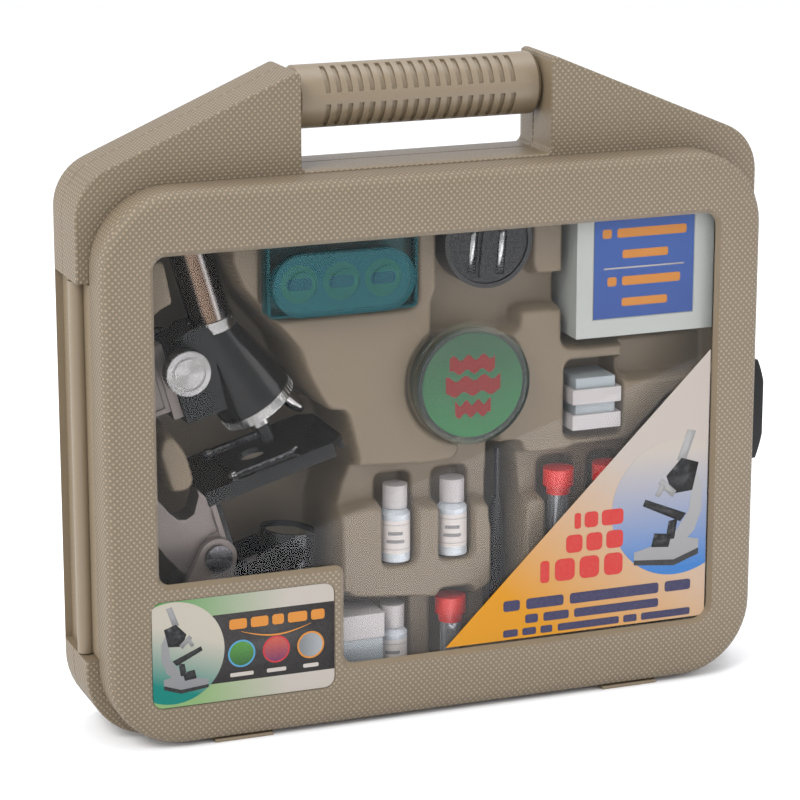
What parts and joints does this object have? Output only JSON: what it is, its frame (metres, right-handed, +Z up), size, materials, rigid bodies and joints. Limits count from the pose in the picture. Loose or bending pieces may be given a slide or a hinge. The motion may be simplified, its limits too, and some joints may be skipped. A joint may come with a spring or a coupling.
{
  "type": "microscope kit in carry case",
  "caption": "Hinged plastic carry case with clear window, latch and roller handle, holding a small student microscope and slide-making accessories in a formed tray.",
  "frame": {"origin": "centre of the closed case's footprint between its front and back faces, on the ground plane under the feet", "axes": "+X towards the latch side, +Y from the window towards the back, +Z up"},
  "size_m": [0.3605, 0.07, 0.326],
  "materials": {
    "case_shell": "satin, fine raised dot texture",
    "tray": "smooth vacuum-formed sheet",
    "pins": "satin",
    "pane": "clear sheet",
    "lid_label": "printed, gloss",
    "window_print": "printed, gloss",
    "latch": "gloss",
    "scope_black": "gloss enamel",
    "rubber": "matte",
    "dark_steel": "dark satin",
    "arm_cast": "silver-grey paint on a casting",
    "stage_metal": "satin",
    "scope_chrome": "polished",
    "eyepiece": "satin",
    "lens": "clear",
    "mirror": "polished",
    "clear_ware": "clear moulded plastic",
    "petri_card": "printed card",
    "hatchery": "clear teal",
    "slicer": "satin black",
    "slide_box": "satin",
    "slide_label": "printed",
    "white_lids": "satin",
    "frosted": "translucent",
    "red_caps": "translucent red",
    "tool": "satin"
  },
  "bodies": {
    "case": {"case_back": "case_shell", "hinge_pin": "pins", "latch_pin": "pins", "handle_tube": "pins", "back_feet": "case_shell", "insert_tray": "tray", "scope_base": "arm_cast", "base_pad": "rubber", "inclination_bolt": "dark_steel", "scope_arm": "arm_cast", "stage": "scope_black", "stage_bracket": "scope_black", "clip_studs": "stage_metal", "focus_rack": "stage_metal", "illuminator_fork": "scope_black", "petri_base": "clear_ware", "petri_lid": "clear_ware", "petri_card": "petri_card", "hatchery_base": "hatchery", "hatchery_lid": "hatchery", "hatchery_card": "petri_card", "slicer_body": "slicer", "slide_box": "slide_box", "slide_box_lid": "slide_box", "slide_box_label": "slide_label", "glass_slides": "lens", "small_boxes": "frosted", "small_box_lids": "white_lids", "bottles": "frosted", "vials": "clear_ware", "vial_caps": "red_caps", "scalpel": "tool"},
    "lid": {"lid_frame": "case_shell", "window_pane": "pane", "lid_label": "lid_label", "window_print": "window_print", "lid_feet": "case_shell"},
    "latch": {"latch": "latch"},
    "handle_grip": {"grip": "case_shell"},
    "focus_head": {"scope_head": "scope_black", "scope_tube": "scope_chrome", "tube_ring": "scope_chrome", "turret_screw": "stage_metal"},
    "focus_knob": {"focus_shaft": "stage_metal", "focus_knobs": "scope_chrome"},
    "turret": {"nosepiece": "scope_chrome", "objective_long": "scope_chrome", "objectives_short": "scope_black"},
    "eyepiece_unit": {"eyepiece": "eyepiece", "eyepiece_lens": "lens"},
    "illuminator": {"illuminator_drum": "scope_black", "illuminator_mirror": "mirror", "illuminator_lamp": "lens"},
    "clip_near": {"clip_near": "stage_metal"},
    "clip_far": {"clip_far": "stage_metal"},
    "slicer_dial": {"slicer_dial": "slicer"},
    "cap_a": {"bottle_cap_a": "white_lids"},
    "cap_b": {"bottle_cap_b": "white_lids"},
    "cap_c": {"bottle_cap_c": "white_lids"}
  },
  "joints": [
    {"name": "lid_hinge", "type": "hinge", "parent": "case", "child": "lid", "pos_m": [-0.1745, 0, 0.137], "axis": [0, 0, -1], "range_deg": [0, 170]},
    {"name": "latch_hinge", "type": "hinge", "parent": "case", "child": "latch", "pos_m": [0.175, 0.006, 0.139], "axis": [0, 0, 1], "range_deg": [0, 95]},
    {"name": "grip_spin", "type": "hinge", "parent": "case", "child": "handle_grip", "pos_m": [0, 0.011, 0.309], "axis": [1, 0, 0], "continuous": true},
    {"name": "head_slide", "type": "slide", "parent": "case", "child": "focus_head", "axis": [-0.2756, 0, 0.9613], "range_m": [0, 0.01798]},
    {"name": "knob_spin", "type": "hinge", "parent": "focus_head", "child": "focus_knob", "pos_m": [-0.12735, 0.001, 0.1858], "axis": [0, -1, 0], "range_deg": [0, 229]},
    {"name": "turret_spin", "type": "hinge", "parent": "focus_head", "child": "turret", "pos_m": [-0.08481, 0.001, 0.1619], "axis": [-0.5519, 0, 0.8339], "continuous": true},
    {"name": "eyepiece_spin", "type": "hinge", "parent": "focus_head", "child": "eyepiece_unit", "pos_m": [-0.11946, 0.001, 0.2461], "axis": [-0.2756, 0, 0.9613], "continuous": true},
    {"name": "illuminator_flip", "type": "hinge", "parent": "case", "child": "illuminator", "pos_m": [-0.07043, 0.001, 0.08633], "axis": [0, 1, 0], "range_deg": [0, 180]},
    {"name": "clip_near_swing", "type": "hinge", "parent": "case", "child": "clip_near", "pos_m": [-0.10363, -0.0195, 0.13101], "axis": [-0.2756, 0, 0.9613], "range_deg": [0, 12]},
    {"name": "clip_far_swing", "type": "hinge", "parent": "case", "child": "clip_far", "pos_m": [-0.10363, 0.0215, 0.13101], "axis": [0.2756, 0, -0.9613], "range_deg": [0, 12]},
    {"name": "slicer_spin", "type": "hinge", "parent": "case", "child": "slicer_dial", "pos_m": [0.0268, -0.02, 0.2379], "axis": [0, 1, 0], "continuous": true},
    {"name": "cap_a_spin", "type": "hinge", "parent": "case", "child": "cap_a", "pos_m": [-0.0173, -0.012, 0.11], "axis": [0, 0, 1], "continuous": true},
    {"name": "cap_b_spin", "type": "hinge", "parent": "case", "child": "cap_b", "pos_m": [0.0132, -0.012, 0.11], "axis": [0, 0, 1], "continuous": true},
    {"name": "cap_c_spin", "type": "hinge", "parent": "case", "child": "cap_c", "pos_m": [-0.0189, -0.012, 0.048], "axis": [0, 0, 1], "continuous": true}
  ],
  "couplings": [
    {"joint": "knob_spin", "follows": "head_slide", "rad_per_m": 222.22}
  ]
}
